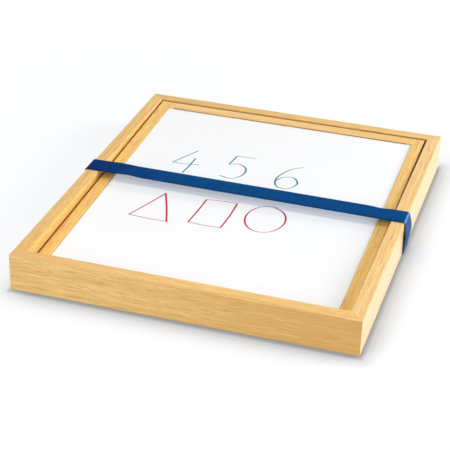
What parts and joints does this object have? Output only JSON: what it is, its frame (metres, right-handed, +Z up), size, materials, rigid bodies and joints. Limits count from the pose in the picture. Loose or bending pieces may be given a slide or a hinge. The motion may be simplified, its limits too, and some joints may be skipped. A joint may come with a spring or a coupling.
{
  "type": "double-sided tabletop easel",
  "caption": "Folding wooden tabletop easel: a framed white writing leaf nests on pivot pins in a deep case with its own board underneath, held shut by a wide elastic strap.",
  "frame": {"origin": "on the table, under the middle of the folded easel", "axes": "+Z up out of the visible board, +Y towards the pivot end (the top of the opened easel), +X to the right seen from the free end"},
  "size_m": [0.3706, 0.432, 0.0436],
  "materials": {
    "case_wood": "clear satin lacquer on straight-grained light hardwood",
    "leaf_wood": "clear satin lacquer on straight-grained light hardwood",
    "inner_wood": "plain sanded hardwood",
    "dowel_wood": "plain beech, glued in",
    "white_board": "glossy white dry-wipe coating on thin steel sheet",
    "hardboard": "smooth brown hardboard",
    "pin_steel": "plain ground steel",
    "bush_brass": "turned brass",
    "washer_nylon": "black nylon",
    "navy_elastic": "woven navy elastic with soft sheen"
  },
  "bodies": {
    "case": {"front_rail": "case_wood", "right_rail": "case_wood", "back_rail": "case_wood", "left_rail": "case_wood", "mitre_dowels": "dowel_wood", "case_board_face": "white_board", "case_board_core": "hardboard", "stop_bar": "inner_wood", "rest_strip": "inner_wood", "pivot_pin_left": "pin_steel", "pivot_pin_right": "pin_steel"},
    "leaf": {"leaf_left_stile": "leaf_wood", "leaf_right_stile": "leaf_wood", "leaf_top_rail": "leaf_wood", "leaf_bottom_rail": "leaf_wood", "leaf_dowels": "dowel_wood", "leaf_board_face": "white_board", "leaf_board_core": "hardboard", "pivot_bush_left": "bush_brass", "pivot_bush_right": "bush_brass", "pivot_washer_left": "washer_nylon", "pivot_washer_right": "washer_nylon"},
    "strap": {"elastic_strap": "navy_elastic"}
  },
  "joints": [
    {"name": "leaf_fold", "type": "hinge", "parent": "case", "child": "leaf", "pos_m": [0, 0.1848, 0.03384], "axis": [-1, 0, 0], "range_deg": [0, 45], "deforming": ["elastic_strap"]},
    {"name": "strap_slide", "type": "slide", "parent": "case", "child": "strap", "axis": [0, 1, 0], "range_m": [0, 0.245]}
  ],
  "couplings": [
    {"joint": "strap_slide", "follows": "leaf_fold", "m_per_rad": 0.3119}
  ]
}
